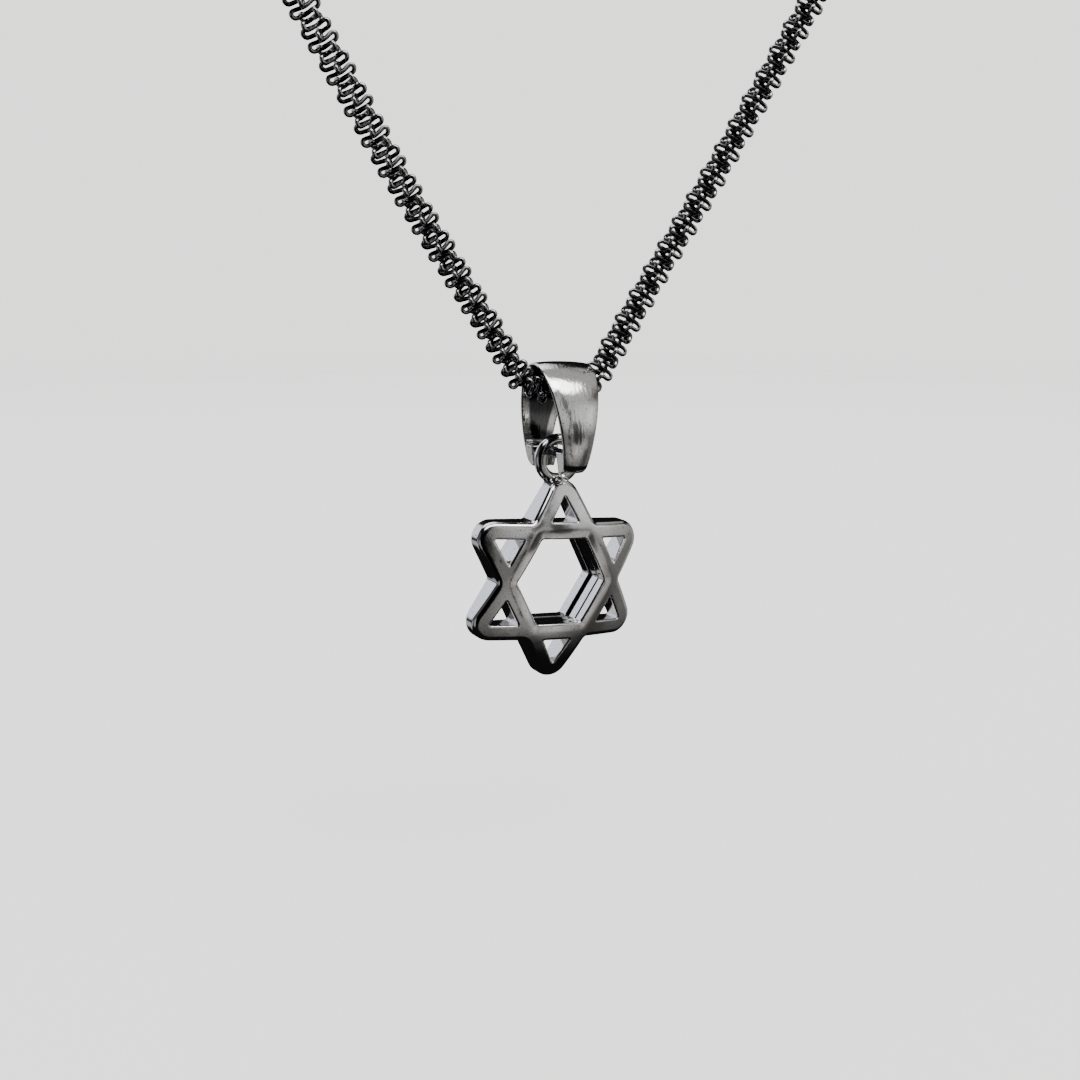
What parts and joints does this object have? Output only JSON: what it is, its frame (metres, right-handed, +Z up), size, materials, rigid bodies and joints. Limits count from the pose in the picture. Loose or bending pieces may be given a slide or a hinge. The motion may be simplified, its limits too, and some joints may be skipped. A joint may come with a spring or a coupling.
{
  "type": "star of david pendant necklace",
  "caption": "Domed open six-pointed star pendant hanging by a soldered ring from a tapered folded bail on a woven link neck chain with a plain barrel clasp.",
  "frame": {"origin": "middle of the clasp, where the chain lies on the nape of the neck", "axes": "+Z up as worn, the front of the star faces -Y, +X to the right seen from the front"},
  "size_m": [0.123, 0.1154, 0.1785],
  "materials": {
    "star": "polished cast silver, very fine pebble",
    "bail": "polished silver strip, very fine pebble",
    "chain": "bright drawn silver wire",
    "clasp": "polished silver"
  },
  "bodies": {
    "chain": {"chain": "chain", "clasp": "clasp"},
    "bail": {"bail": "bail"},
    "star": {"star": "star"}
  },
  "joints": [
    {"name": "bail_swing", "type": "hinge", "parent": "chain", "child": "bail", "pos_m": [0, -0.109, -0.14688], "axis": [1, 0, 0], "range_deg": [-60, 60]},
    {"name": "star_swing", "type": "hinge", "parent": "bail", "child": "star", "pos_m": [0, -0.1086, -0.15237], "axis": [1, 0, 0], "range_deg": [-18, 22]}
  ]
}
